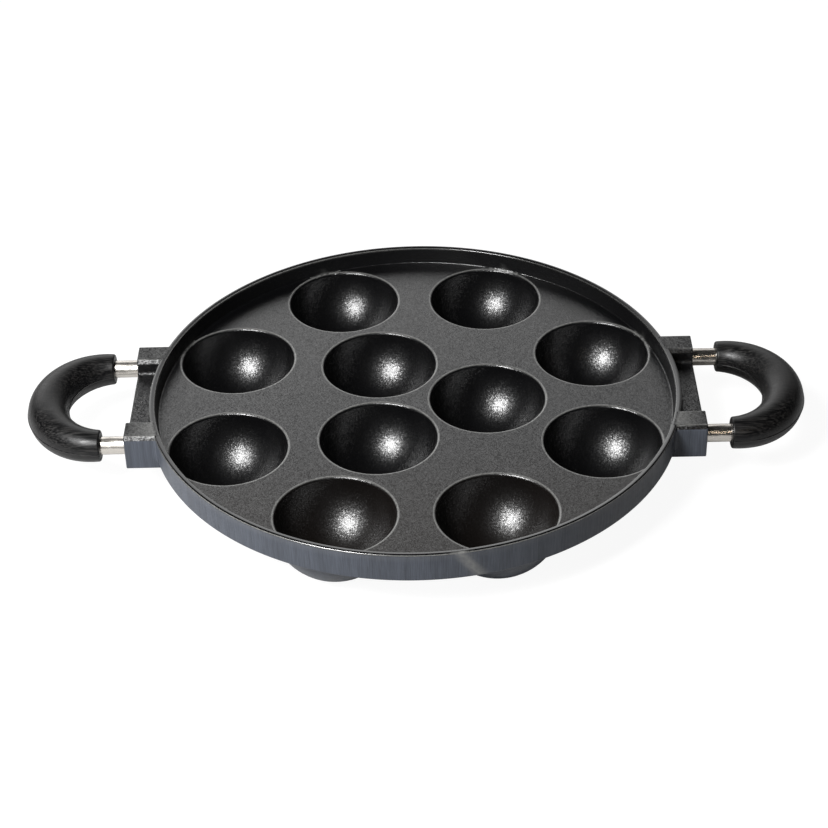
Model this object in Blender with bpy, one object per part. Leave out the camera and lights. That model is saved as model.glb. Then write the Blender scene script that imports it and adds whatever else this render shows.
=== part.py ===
# Paniyaram pan: one casting with round cavities, and at each side a bent steel bar with a moulded grip.
# All sizes are in metres. The cavities' feet stand on z = 0 and the handles point along X.

import math

import bmesh
import bpy
from mathutils import Vector

# Cavities
inner_cavities = 3
outer_cavities = 8
outer_ring_turn = 22.5          # degrees from +X to the first cavity of the outer ring
cavity_mouth_radius = 0.0258
cavity_depth = 0.0246
cavity_lip_round = 0.0008       # where a cavity meets the cooking floor
cavity_wall = 0.0024            # metal beside a cavity, at the floor
cavity_base = 0.0026            # metal under a cavity, down to its foot
foot_radius = 0.0074            # flat foot under a cavity
inner_land = 0.0052             # floor between two neighbours in the middle
ring_land = 0.0049              # floor between the middle cavities and the outer ring, along a radius

# Floor, rim and skirt
floor_thickness = 0.0032
floor_margin = 0.0012           # floor between an outer cavity and the foot of the rim
rim_height = 0.0081             # above the cooking floor
rim_slope = 0.0010              # how far the rim's inner face leans outwards
rim_land = 0.0025               # width of the rim's top
rim_inner_round = 0.0004
rim_outer_round = 0.0009
skirt_depth = 0.0058            # below the cooking floor
skirt_wall = 0.0034
skirt_draft = 0.0004            # how much the skirt's foot is drawn in

# Lugs: two bosses and a lower web at each side
lug_reach = 0.0084              # from the rim to the lug's outer face, on the X axis
lug_root = 0.0008               # how deep the lug starts inside the skirt's wall
boss_spacing = 0.0592           # between the middles of the two bosses
boss_width = 0.0135
boss_drop = 0.0028              # how far the lug hangs below the skirt
boss_round = 0.0018             # along the top edges of a boss
web_drop = 0.0071               # from the boss's top down to the web

# Handle bars
bar_radius = 0.0040
bar_drop = 0.0086               # from the boss's top down to the bar's axis
socket_depth = 0.0112
bare_length = 0.0121            # bar between the lug and the grip
bend_reach = 0.0261             # from the grip's ends to the bend's outermost point, on the bar's axis

# Grips
grip_end_radius = 0.0073
grip_middle_radius = 0.0095
grip_edge_round = 0.0009

# Retaining pins
pin_radius = 0.0015
pin_above_bar = 0.0012          # how far a pin goes past the top of the bar

# Fits and cutters
fit_gap = 0.0003                # between pieces that touch
cutter_margin = 0.0020          # how far a cutter runs past the surface that it opens

# Smoothness
rim_sides = 96
bowl_sides = 24
bowl_steps = 5
round_steps = 2
bar_sides = 16
bend_steps = 16

# Sizes that follow from the ones above
bowl_radius = cavity_mouth_radius + cavity_wall
floor_z = cavity_depth + cavity_base
inner_ring_radius = (cavity_mouth_radius + inner_land / 2) / math.sin(math.pi / inner_cavities)
outer_ring_radius = inner_ring_radius + 2 * cavity_mouth_radius + ring_land
rim_foot_radius = outer_ring_radius + cavity_mouth_radius + floor_margin
rim_inner_radius = rim_foot_radius + rim_slope
rim_radius = rim_inner_radius + rim_land
rim_z = floor_z + rim_height
skirt_radius = rim_radius - skirt_draft
skirt_inner_radius = skirt_radius - skirt_wall
skirt_z = floor_z - skirt_depth
lug_face_x = rim_radius + lug_reach
lug_bottom_z = skirt_z - boss_drop
boss_y = boss_spacing / 2
bar_z = rim_z - bar_drop
socket_radius = bar_radius + fit_gap
pin_hole_radius = pin_radius + fit_gap
pin_x = -socket_depth / 2       # in the handle's own frame, whose origin is on the lug's outer face
pin_top = bar_radius + pin_above_bar


def srgb(hex_text):
    """Linear colour of a #rrggbb value."""
    channels = [int(hex_text[i:i + 2], 16) / 255 for i in (1, 3, 5)]
    linear = [c / 12.92 if c <= 0.04045 else ((c + 0.055) / 1.055) ** 2.4 for c in channels]
    return (*linear, 1.0)


def make_material(name, colour, roughness, metallic):
    made = bpy.data.materials.new(name)
    made.use_nodes = True
    shader = made.node_tree.nodes["Principled BSDF"]
    shader.inputs["Base Color"].default_value = srgb(colour)
    shader.inputs["Roughness"].default_value = roughness
    shader.inputs["Metallic"].default_value = metallic
    made.diffuse_color = srgb(colour)
    return made


def make_mesh(name, shape, finish=None):
    """Turn a bmesh into a mesh with outward faces, shaded smooth between sharp edges."""
    bmesh.ops.recalc_face_normals(shape, faces=shape.faces)
    mesh = bpy.data.meshes.new(name)
    shape.to_mesh(mesh)
    shape.free()
    smooth(mesh)
    if finish:
        mesh.materials.append(finish)
    return mesh


def smooth(mesh):
    mesh.shade_smooth()
    mesh.set_sharp_from_angle(angle=math.radians(35))


def add_object(name, mesh, parent=None, location=(0, 0, 0)):
    made = bpy.data.objects.new(name, mesh)
    bpy.context.scene.collection.objects.link(made)
    made.parent = parent
    made.location = location
    return made


def add_tool(name, shape):
    """A shape that only cuts or joins another one."""
    tool = add_object(name, make_mesh(name, shape))
    tool.hide_render = True
    tool.display_type = "WIRE"
    return tool


def combine(target, tools, operation):
    """Join the tools to the target, or cut them from it, and keep the result as its mesh."""
    for tool in tools:
        step = target.modifiers.new(tool.name, "BOOLEAN")
        step.operation = operation
        step.object = tool
        evaluated = target.evaluated_get(bpy.context.evaluated_depsgraph_get())
        old = target.data
        target.data = bpy.data.meshes.new_from_object(evaluated)
        target.modifiers.remove(step)
        bpy.data.meshes.remove(old)
        bpy.data.objects.remove(tool)
    smooth(target.data)


def arc(centre, radius, start, end, steps):
    """Points of an arc, with angles in degrees."""
    angles = [math.radians(start + (end - start) * i / steps) for i in range(steps + 1)]
    return [(centre[0] + radius * math.cos(a), centre[1] + radius * math.sin(a)) for a in angles]


def lathe(profile, sides, centre=(0, 0)):
    """Turn a profile of (radius, height) points, from axis to axis, round a vertical line."""
    shape = bmesh.new()
    points = [shape.verts.new((radius, 0, height)) for radius, height in profile]
    edges = [shape.edges.new(pair) for pair in zip(points, points[1:])]
    bmesh.ops.spin(shape, geom=points + edges, cent=(0, 0, 0), axis=(0, 0, 1),
                   angle=2 * math.pi, steps=sides, use_merge=True)
    bmesh.ops.remove_doubles(shape, verts=shape.verts, dist=1e-7)
    bmesh.ops.translate(shape, verts=shape.verts, vec=(centre[0], centre[1], 0))
    return shape


def cylinder(radius, low, high, sides, centre=(0, 0)):
    return lathe([(0, low), (radius, low), (radius, high), (0, high)], sides, centre)


def circle_points(centre, direction, radius):
    """A ring of points square to a level direction."""
    across = Vector((direction.y, -direction.x, 0))
    up = Vector((0, 0, 1))
    angles = [2 * math.pi * i / bar_sides for i in range(bar_sides)]
    return [centre + radius * (math.cos(a) * across + math.sin(a) * up) for a in angles]


def skin(rings, closed):
    """Faces between rings of points: a tube that runs back into itself, or one with two flat ends."""
    shape = bmesh.new()
    loops = [[shape.verts.new(point) for point in ring] for ring in rings]
    pairs = list(zip(loops, loops[1:]))
    if closed:
        pairs.append((loops[-1], loops[0]))
    else:
        shape.faces.new(loops[0])
        shape.faces.new(loops[-1])
    for first, second in pairs:
        for i in range(len(first)):
            j = (i + 1) % len(first)
            shape.faces.new((first[i], first[j], second[j], second[i]))
    return shape


def ring_places(count, radius, turn=0.0):
    """Centres of a ring of cavities, with the turn in degrees."""
    angles = [math.radians(turn) + 2 * math.pi * i / count for i in range(count)]
    return [(radius * math.cos(a), radius * math.sin(a)) for a in angles]


def cavity_places():
    inner = ring_places(inner_cavities, inner_ring_radius)
    outer = ring_places(outer_cavities, outer_ring_radius, outer_ring_turn)
    return inner + outer


def blank_profile():
    """The casting before it is hollowed: underside of the floor, skirt, rim and a solid top."""
    under_z = floor_z - floor_thickness
    rim_corner = arc((rim_radius - rim_outer_round, rim_z - rim_outer_round), rim_outer_round,
                     0, 90, round_steps)
    return [(0, under_z), (skirt_inner_radius, under_z), (skirt_inner_radius, skirt_z),
            (skirt_radius, skirt_z), *rim_corner, (0, rim_z)]


def tray_profile():
    """The space over the cooking floor, inside the rim."""
    corner_radius = rim_inner_radius + rim_inner_round
    corner = arc((corner_radius, rim_z - rim_inner_round), rim_inner_round, 180, 90, round_steps)
    top = rim_z + cutter_margin
    return [(0, floor_z), (rim_foot_radius, floor_z), *corner, (corner_radius, top), (0, top)]


def bowl_profile():
    """Outside of a cavity's bowl: a ball that meets the floor at bowl_radius and ends in a flat foot."""
    ball_z = (bowl_radius ** 2 + floor_z ** 2 - foot_radius ** 2) / (2 * floor_z)
    ball_radius = math.hypot(foot_radius, ball_z)
    foot_angle = math.degrees(math.atan2(-ball_z, foot_radius))
    floor_angle = math.degrees(math.atan2(floor_z - ball_z, bowl_radius))
    side = arc((0, ball_z), ball_radius, foot_angle, floor_angle, bowl_steps)
    return [(0, 0), (foot_radius, 0), *side[1:], (0, side[-1][1])]


def cavity_profile():
    """Inside of a cavity: a ball, the rounded lip, and a straight run above the floor."""
    ball_radius = (cavity_mouth_radius ** 2 + cavity_depth ** 2) / (2 * cavity_depth)
    ball_z = cavity_base + ball_radius
    lip_z = floor_z - cavity_lip_round
    lip_radius = cavity_mouth_radius + cavity_lip_round
    lip = arc((lip_radius, lip_z), cavity_lip_round, 180, 90, round_steps)
    lip_angle = math.degrees(math.atan2(lip_z - ball_z, cavity_mouth_radius))
    side = arc((0, ball_z), ball_radius, -90, lip_angle, bowl_steps)
    top = floor_z + cutter_margin
    return [(0, cavity_base), *side[1:-1], *lip, (lip_radius, top), (0, top)]


def lug_outline():
    """Section of a lug square to X: two bosses, and the lower web between them."""
    inner = boss_y - boss_width / 2
    outer = boss_y + boss_width / 2
    round_z = rim_z - boss_round
    half = [(outer, lug_bottom_z),
            *arc((outer - boss_round, round_z), boss_round, 0, 90, round_steps),
            *arc((inner + boss_round, round_z), boss_round, 90, 180, round_steps),
            (inner, rim_z - web_drop)]
    return half + [(-y, z) for y, z in reversed(half)]


def lug_block(side):
    """A lug as one bar along X, from the pan's middle out to the lug's face."""
    shape = bmesh.new()
    face = shape.faces.new([shape.verts.new((0, y, z)) for y, z in lug_outline()])
    grown = bmesh.ops.extrude_face_region(shape, geom=[face])
    ends = [item for item in grown["geom"] if isinstance(item, bmesh.types.BMVert)]
    bmesh.ops.translate(shape, verts=ends, vec=(side * lug_face_x, 0, 0))
    return shape


def lug_drillings(side):
    """Blind sockets for the bar's ends, and blind holes from below for the pins."""
    shapes = []
    for y in (-boss_y, boss_y):
        inner_end = Vector((side * (lug_face_x - socket_depth - fit_gap), y, bar_z))
        outer_end = Vector((side * (lug_face_x + cutter_margin), y, bar_z))
        along = Vector((1, 0, 0))
        shapes.append(skin([circle_points(end, along, socket_radius) for end in (inner_end, outer_end)], False))
        shapes.append(cylinder(pin_hole_radius, lug_bottom_z - cutter_margin, bar_z + pin_top + fit_gap,
                               bar_sides, (side * (lug_face_x + pin_x), y)))
    return shapes


def make_pan_body(finish):
    body = add_object("pan_body", make_mesh("pan_body", lathe(blank_profile(), rim_sides), finish))
    for side in (-1, 1):
        lug = add_tool("lug", lug_block(side))
        core = cylinder(skirt_inner_radius + lug_root, lug_bottom_z - cutter_margin,
                        rim_z + cutter_margin, rim_sides)
        combine(lug, [add_tool("lug_core", core)], "DIFFERENCE")
        combine(body, [lug], "UNION")
    places = cavity_places()
    combine(body, [add_tool("bowl", lathe(bowl_profile(), bowl_sides, place)) for place in places], "UNION")
    combine(body, [add_tool("tray", lathe(tray_profile(), rim_sides))], "DIFFERENCE")
    hollows = [add_tool("cavity", lathe(cavity_profile(), bowl_sides, place)) for place in places]
    combine(body, hollows, "DIFFERENCE")
    for side in (-1, 1):
        combine(body, [add_tool("drilling", shape) for shape in lug_drillings(side)], "DIFFERENCE")


# A handle has its own frame: the origin is on the lug's outer face at the bar's height, between the
# bosses, and +X points away from the pan. Both handles share the meshes.

def bend_turns():
    """Steps round the bend, in radians, from the front leg to the rear one."""
    return [math.pi * (i / bend_steps - 0.5) for i in range(bend_steps + 1)]


def bend_point(turn):
    return Vector((bare_length + bend_reach * math.cos(turn), boss_y * math.sin(turn), 0))


def bend_direction(turn):
    return Vector((-bend_reach * math.sin(turn), boss_y * math.cos(turn), 0)).normalized()


def bend_circle(turn, radius, back=0.0):
    """A ring round the bend's axis, moved towards the lug by a distance."""
    return circle_points(bend_point(turn) - Vector((back, 0, 0)), bend_direction(turn), radius)


def bar_mesh(finish):
    """Bent bar: straight out of the sockets, then half an ellipse, with a cross hole near each end."""
    turns = bend_turns()
    leg = socket_depth + bare_length
    rings = [bend_circle(turns[0], bar_radius, leg)]
    rings += [bend_circle(turn, bar_radius) for turn in turns]
    rings.append(bend_circle(turns[-1], bar_radius, leg))
    bar = add_object("bar", make_mesh("handle_rod", skin(rings, False), finish))
    reach = bar_radius + cutter_margin
    holes = [cylinder(pin_hole_radius, -reach, reach, bar_sides, (pin_x, y)) for y in (-boss_y, boss_y)]
    combine(bar, [add_tool("pin_hole", hole) for hole in holes], "DIFFERENCE")
    mesh = bar.data
    bpy.data.objects.remove(bar)
    return mesh


def grip_mesh(finish):
    """Moulded grip, fuller in the middle, with a bore for the bar and rounded edges at its ends."""
    turns = bend_turns()
    swell = grip_middle_radius - grip_end_radius
    edge_radius = grip_end_radius - grip_edge_round
    bore_radius = bar_radius + fit_gap
    first, last = turns[0], turns[-1]
    rings = [bend_circle(first, edge_radius, grip_edge_round)]
    rings += [bend_circle(turn, grip_end_radius + swell * math.cos(turn)) for turn in turns]
    rings.append(bend_circle(last, edge_radius, grip_edge_round))
    rings.append(bend_circle(last, bore_radius, grip_edge_round))
    rings += [bend_circle(turn, bore_radius) for turn in reversed(turns)]
    rings.append(bend_circle(first, bore_radius, grip_edge_round))
    return make_mesh("grip", skin(rings, True), finish)


def pin_mesh(finish):
    return make_mesh("pin", cylinder(pin_radius, lug_bottom_z + fit_gap - bar_z, pin_top, bar_sides), finish)


def add_handle(word, side, bar, grip, pin):
    holder = add_object(word + "_handle", None, None, (side * lug_face_x, 0, bar_z))
    if side < 0:
        holder.rotation_euler.z = math.pi
    add_object(word + "_handle_rod", bar, holder)
    add_object(word + "_grip", grip, holder)
    add_object(word + "_rear_pin", pin, holder, (pin_x, side * boss_y, 0))
    add_object(word + "_front_pin", pin, holder, (pin_x, -side * boss_y, 0))


def main():
    for old in list(bpy.data.objects):
        bpy.data.objects.remove(old)
    make_pan_body(make_material("non_stick_coated_casting", "#5c5e60", 0.42, 0.35))
    bar = bar_mesh(make_material("polished_steel", "#c9c6c0", 0.16, 1.0))
    grip = grip_mesh(make_material("black_moulded_rubber", "#262627", 0.5, 0.0))
    pin = pin_mesh(make_material("pin_steel", "#8d8c89", 0.35, 1.0))
    add_handle("left", -1, bar, grip, pin)
    add_handle("right", 1, bar, grip, pin)


main()
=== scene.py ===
# Paniyaram pan: casting, bars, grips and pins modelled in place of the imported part's solids. Metres.
import math

import bmesh
import bpy
import numpy as np
from mathutils import Matrix, Vector, geometry


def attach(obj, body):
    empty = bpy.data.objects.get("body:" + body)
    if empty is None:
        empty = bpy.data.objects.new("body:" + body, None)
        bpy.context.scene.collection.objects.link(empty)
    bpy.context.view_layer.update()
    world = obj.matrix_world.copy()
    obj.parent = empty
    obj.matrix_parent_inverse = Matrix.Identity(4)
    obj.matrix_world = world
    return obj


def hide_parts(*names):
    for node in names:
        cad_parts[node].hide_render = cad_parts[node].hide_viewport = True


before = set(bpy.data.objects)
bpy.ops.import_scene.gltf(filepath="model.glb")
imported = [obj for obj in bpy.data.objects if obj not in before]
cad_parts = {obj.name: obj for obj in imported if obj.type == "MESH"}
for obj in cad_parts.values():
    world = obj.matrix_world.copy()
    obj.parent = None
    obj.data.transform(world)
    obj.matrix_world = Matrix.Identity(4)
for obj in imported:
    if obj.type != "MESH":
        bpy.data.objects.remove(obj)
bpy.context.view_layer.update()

print("frame loaded:", ", ".join(sorted(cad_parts)))

mm = 0.001
perMetre = 1000  # flat sheets are cut into triangles in millimetres, where that is steadier
closeness = 1e-5  # and points nearer than this, in millimetres, are joined there


# Small tools

def hexColour(text):
    # sRGB hex to linear RGBA
    parts = [int(text[i:i + 2], 16) / 255 for i in (1, 3, 5)]
    return (*[p / 12.92 if p <= 0.04045 else ((p + 0.055) / 1.055) ** 2.4 for p in parts], 1.0)


def setInputs(node, inputs):
    # a value, a socket to link, or a node, which is linked by its first output
    for socket, value in inputs.items():
        if isinstance(value, bpy.types.Node):
            value = value.outputs[0]
        if isinstance(value, bpy.types.NodeSocket):
            node.id_data.links.new(value, node.inputs[socket])
        else:
            node.inputs[socket].default_value = value


def addNode(tree, kind, settings=None, inputs=None):
    # one node, with its settings and its inputs
    node = tree.nodes.new(kind)
    for key, value in (settings or {}).items():
        setattr(node, key, value)
    setInputs(node, inputs or {})
    return node


def newMaterial(name, values):
    # also gives the place on the object, which every pattern here follows
    material = bpy.data.materials.new(name)
    material.use_nodes = True
    tree = material.node_tree
    shader = tree.nodes["Principled BSDF"]
    setInputs(shader, values)
    material.diffuse_color = shader.inputs["Base Color"].default_value
    return material, tree, shader, addNode(tree, "ShaderNodeTexCoord").outputs["Object"]


def turnsOf(count):
    return [2 * math.pi * i / count for i in range(count)]


def circlePoints(radius, turns, centre=(0, 0)):
    return [(centre[0] + radius * math.cos(a), centre[1] + radius * math.sin(a)) for a in turns]


def arcPoints(centre, radius, start, end, steps):
    # angles in degrees
    turns = [math.radians(start + (end - start) * i / steps) for i in range(steps + 1)]
    return circlePoints(radius, turns, centre)


def ringFaces(rings, sides):
    # four-sided faces between rings of points that follow one another
    return [(ring * sides + i, ring * sides + (i + 1) % sides,
             (ring + 1) * sides + (i + 1) % sides, (ring + 1) * sides + i)
            for ring in range(rings - 1) for i in range(sides)]


def newMesh(name, points, faces=(), edges=()):
    mesh = bpy.data.meshes.new(name)
    mesh.from_pydata(points, edges, faces)
    return mesh


def pointsOf(mesh):
    return np.array([v.co[:] for v in mesh.vertices])


def addObject(name, data):
    made = bpy.data.objects.new(name, data)
    bpy.context.scene.collection.objects.link(made)
    return made


def applyModifiers(made):
    # keeps the evaluated shape as a plain mesh
    evaluated = made.evaluated_get(bpy.context.evaluated_depsgraph_get())
    mesh = bpy.data.meshes.new_from_object(evaluated)
    made.modifiers.clear()
    made.data = mesh
    return made


def tidyMesh(mesh, sharpAngle=35, merge=2e-6, shortest=1e-7):
    # doubles merged, faces outward, smooth between sharp edges; gives the number of open edges
    shape = bmesh.new()
    shape.from_mesh(mesh)
    bmesh.ops.remove_doubles(shape, verts=shape.verts, dist=merge)
    bmesh.ops.dissolve_degenerate(shape, edges=shape.edges, dist=shortest)
    bmesh.ops.recalc_face_normals(shape, faces=shape.faces)
    loose = sum(1 for edge in shape.edges if not edge.is_manifold)
    shape.to_mesh(mesh)
    shape.free()
    mesh.shade_smooth()
    mesh.set_sharp_from_angle(angle=math.radians(sharpAngle))
    return loose


# Geometry Nodes: a turned profile set out in a ring, and a section swept along a path

def newTree(name, sockets):
    tree = bpy.data.node_groups.new(name, "GeometryNodeTree")
    tree.interface.new_socket("Geometry", in_out="OUTPUT", socket_type="NodeSocketGeometry")
    for label, kind in (("Geometry", "Geometry"), *sockets, ("Material", "Material")):
        tree.interface.new_socket(label, in_out="INPUT", socket_type="NodeSocket" + kind)
    return tree, addNode(tree, "NodeGroupInput").outputs, addNode(tree, "NodeGroupOutput")


def endTree(tree, given, result, shape):
    # every tree ends with copies made real and a material set
    real = addNode(tree, "GeometryNodeRealizeInstances", inputs={"Geometry": shape})
    finished = addNode(tree, "GeometryNodeSetMaterial",
                       inputs={"Geometry": real, "Material": given["Material"]})
    setInputs(result, {"Geometry": finished})
    return tree


def makeTurnedRingTree():
    tree, given, result = newTree("turnedRing", (
        ("Mouth Radius", "Float"), ("Sides", "Int"), ("Count", "Int"), ("Ring Radius", "Float"),
        ("Turn", "Float")))
    profile = addNode(tree, "GeometryNodeMeshToCurve", inputs={"Mesh": given["Geometry"]})
    circle = addNode(tree, "GeometryNodeCurvePrimitiveCircle",
                     inputs={"Resolution": given["Sides"], "Radius": given["Mouth Radius"]})
    turned = addNode(tree, "GeometryNodeCurveToMesh", inputs={"Curve": circle, "Profile Curve": profile})
    closed = addNode(tree, "GeometryNodeMergeByDistance",  # the pole becomes one point
                     inputs={"Geometry": turned, "Distance": 0.001 * mm})
    places = addNode(tree, "GeometryNodeMeshCircle",
                     inputs={"Vertices": given["Count"], "Radius": given["Ring Radius"]})
    turn = addNode(tree, "ShaderNodeCombineXYZ", inputs={"Z": given["Turn"]})
    placed = addNode(tree, "GeometryNodeTransform", inputs={"Geometry": places, "Rotation": turn})
    copies = addNode(tree, "GeometryNodeInstanceOnPoints", inputs={"Points": placed, "Instance": closed})
    return endTree(tree, given, result, copies)


def makeSweptSectionTree():
    # the section is a circle with its points drawn in towards the parting plane, where a fine ridge runs
    tree, given, result = newTree("sweptSection", (
        ("Sides", "Int"), ("Crowding", "Float"), ("Seam Rise", "Float"), ("Seam Width", "Float"),
        ("Fill Ends", "Bool")))
    circle = addNode(tree, "GeometryNodeCurvePrimitiveCircle",
                     inputs={"Resolution": given["Sides"], "Radius": 1.0})
    known = {label: given[label] for label in ("Sides", "Crowding", "Seam Rise", "Seam Width")}
    known["index"] = addNode(tree, "GeometryNodeInputIndex")
    for name, operation, *terms in (
            ("turn", "DIVIDE", "index", "Sides"),
            ("angle", "MULTIPLY", "turn", 2 * math.pi),
            ("double", "MULTIPLY", "turn", 4 * math.pi),
            ("wave", "SINE", "double"),
            ("bent", "MULTIPLY_ADD", "wave", "Crowding", "angle"),
            ("across", "COSINE", "bent"),
            ("up", "SINE", "bent"),
            ("away", "DIVIDE", "up", "Seam Width"),
            ("square", "MULTIPLY", "away", "away"),
            ("ridge", "POWER", 1 / math.e, "square"),
            ("size", "MULTIPLY_ADD", "ridge", "Seam Rise", 1.0)):
        inputs = {i: known.get(term, term) for i, term in enumerate(terms)}
        known[name] = addNode(tree, "ShaderNodeMath", {"operation": operation}, inputs)
    flat = addNode(tree, "ShaderNodeCombineXYZ", inputs={"X": known["across"], "Y": known["up"]})
    point = addNode(tree, "ShaderNodeVectorMath", {"operation": "SCALE"}, {0: flat, "Scale": known["size"]})
    section = addNode(tree, "GeometryNodeSetPosition", inputs={"Geometry": circle, "Position": point})
    radius = addNode(tree, "GeometryNodeInputNamedAttribute", {"data_type": "FLOAT"},
                     {"Name": "sectionRadius"})
    path = addNode(tree, "GeometryNodeMeshToCurve", inputs={"Mesh": given["Geometry"]})
    swept = addNode(tree, "GeometryNodeCurveToMesh",
                    inputs={"Curve": path, "Profile Curve": section,
                            "Scale": radius, "Fill Caps": given["Fill Ends"]})
    return endTree(tree, given, result, swept)


def runTree(name, tree, lines, values, radii=None):
    # lines is a list of point lists, radii the sections' sizes at their points; gives a plain mesh object
    points = [p for line in lines for p in line]
    edges, start = [], 0
    for line in lines:
        edges += [(start + i, start + i + 1) for i in range(len(line) - 1)]
        start += len(line)
    mesh = newMesh(name, points, edges=edges)
    if radii:
        mesh.attributes.new("sectionRadius", "FLOAT", "POINT").data.foreach_set("value", radii)
    made = addObject(name, mesh)
    step = made.modifiers.new(name, "NODES")
    step.node_group = tree
    for item in tree.interface.items_tree:
        if item.name in values:
            step[item.identifier] = values[item.name]
    return applyModifiers(made)


turnedRingTree = makeTurnedRingTree()
sweptSectionTree = makeSweptSectionTree()


# Coats and metals

noiseSpan = {"From Min": 0.3, "From Max": 0.7}  # nearly all of a noise lies between these
# painted highlights: a paler colour for thin lines of lamp light along edges and for a streak
paintedHighlight = {"colour": "#828280", "breakupSize": 1.5 * mm, "weakestShare": 0.65}


def paintedHighlightColour(tree, where, colour):
    # the coat's colour, paler where the value kept at each point of the mesh says: painted highlights, broken
    # up by a noise
    painted = addNode(tree, "ShaderNodeAttribute", {"attribute_name": "paintedHighlight"})
    breakup = addNode(tree, "ShaderNodeTexNoise",
                  inputs={"Vector": where, "Scale": 1 / paintedHighlight["breakupSize"], "Detail": 1.0})
    broken = addNode(tree, "ShaderNodeMapRange",
                     inputs={"Value": breakup, **noiseSpan, "To Min": paintedHighlight["weakestShare"]})
    share = addNode(tree, "ShaderNodeMath", {"operation": "MULTIPLY"}, {0: painted.outputs["Fac"], 1: broken})
    mixed = addNode(tree, "ShaderNodeMix", {"data_type": "RGBA"},
                    {0: share, 6: colour, 7: hexColour(paintedHighlight["colour"])})
    return mixed.outputs[2]


inside = {
    "colour": "#040405", "peelSize": 2.5 * mm, "peelDepth": 0.02 * mm,
    "wearSize": 18 * mm, "wornSmoother": 0.01, "wornRougher": 0.02,
    "usedColour": "#0b0705", "usedRoughness": 0.035, "usedFrom": -20 * mm, "usedTo": -90 * mm,
}
insideKinds = {  # roughness, IOR, size of the flakes and their tilt
    "nonStickPtfeSprayed": (0.3, 1.7, 0.35 * mm, 0.18),
    "nonStickPtfeDrySprayed": (0.5, 1.42, 0.35 * mm, 0.18),
    "nonStickPtfeOverCastSkinAndShade": (0.36, 1.5, 0.5 * mm, 0.3),
}


def makeInsideCoat(name, roughness, ior, flakeSize, flakeTilt):
    # PTFE non-stick with mineral flakes, sprayed on the blasted casting and baked: near black and satin,
    # every highlight broken into sparks by the flakes under the skin. On the rim's steep wall it lands dry
    # and duller, and over the lugs' rough casting the sparks are coarse. Real flakes are about 0.1 mm, drawn
    # coarser so that they show.
    material, tree, shader, where = newMaterial(name, {
        "Base Color": hexColour(inside["colour"]), "Roughness": roughness, "IOR": ior})
    peel = addNode(tree, "ShaderNodeTexNoise",
                   inputs={"Vector": where, "Scale": 1 / inside["peelSize"], "Detail": 1.0})
    bump = addNode(tree, "ShaderNodeBump", inputs={"Distance": inside["peelDepth"], "Height": peel})
    flakes = addNode(tree, "ShaderNodeTexVoronoi", inputs={"Vector": where, "Scale": 1 / flakeSize})
    tilt = addNode(tree, "ShaderNodeVectorMath", {"operation": "MULTIPLY_ADD"},
                   {0: flakes.outputs["Color"], 1: (flakeTilt,) * 3, 2: (-flakeTilt / 2,) * 3})
    tilted = addNode(tree, "ShaderNodeVectorMath", {"operation": "ADD"}, {0: bump, 1: tilt})
    unit = addNode(tree, "ShaderNodeVectorMath", {"operation": "NORMALIZE"}, {0: tilted})
    wear = addNode(tree, "ShaderNodeTexNoise", inputs={"Vector": where, "Scale": 1 / inside["wearSize"]})
    rough = addNode(tree, "ShaderNodeMapRange",
                    inputs={"Value": wear, **noiseSpan, "To Min": roughness - inside["wornSmoother"],
                            "To Max": roughness + inside["wornRougher"]})
    # the front cavities are used most: a little browned and rougher
    axes = addNode(tree, "ShaderNodeSeparateXYZ", inputs={"Vector": where})
    used = addNode(tree, "ShaderNodeMapRange", {"interpolation_type": "SMOOTHSTEP"},
                   {"Value": axes.outputs["Y"], "From Min": inside["usedTo"], "From Max": inside["usedFrom"],
                    "To Min": 1.0, "To Max": 0.0})
    browned = addNode(tree, "ShaderNodeMix", {"data_type": "RGBA"},
                      {0: used, 6: hexColour(inside["colour"]), 7: hexColour(inside["usedColour"])})
    rougher = addNode(tree, "ShaderNodeMath", {"operation": "MULTIPLY_ADD"},
                      {0: used, 1: inside["usedRoughness"], 2: rough})
    setInputs(shader, {"Base Color": paintedHighlightColour(tree, where, browned.outputs[2]),
                       "Roughness": rougher, "Normal": unit})
    return material


turned = {"roughness": 0.18, "ior": 1.7, "lineSize": 0.25 * mm, "lineDepth": 0.008 * mm}


def makeTurnedRim():
    # the same coat over the lathe-turned rim, smoother than on the floor, with fine rings that spread each
    # highlight across the rim. They are drawn coarser than real ones so that they show.
    material, tree, shader, where = newMaterial("nonStickPtfeOverTurnedRim", {
        "Base Color": hexColour(inside["colour"]), "Roughness": turned["roughness"], "IOR": turned["ior"]})
    flat = addNode(tree, "ShaderNodeVectorMath", {"operation": "MULTIPLY"}, {0: where, 1: (1, 1, 0)})
    away = addNode(tree, "ShaderNodeVectorMath", {"operation": "LENGTH"}, {0: flat})
    rings = addNode(tree, "ShaderNodeTexNoise", {"noise_dimensions": "1D"},
                    {"W": away.outputs["Value"], "Scale": 1 / turned["lineSize"], "Detail": 1.0})
    bump = addNode(tree, "ShaderNodeBump", inputs={"Distance": turned["lineDepth"], "Height": rings})
    setInputs(shader, {"Base Color": paintedHighlightColour(tree, where, hexColour(inside["colour"])), "Normal": bump})
    return material


outside = {
    "colour": "#464a52", "roughness": 0.42, "ior": 1.38, "stretch": 0.03,
    "strokeSize": 0.5 * mm, "strokeBreak": 0.6, "bandSize": 6 * mm, "bandShare": 0.6,
    "grainSize": 0.6 * mm, "skinDepth": 0.012 * mm,
    "tones": {"From Min": 0.55, "From Max": 1.05, "To Min": 0.7, "To Max": 1.3},
}


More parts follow.
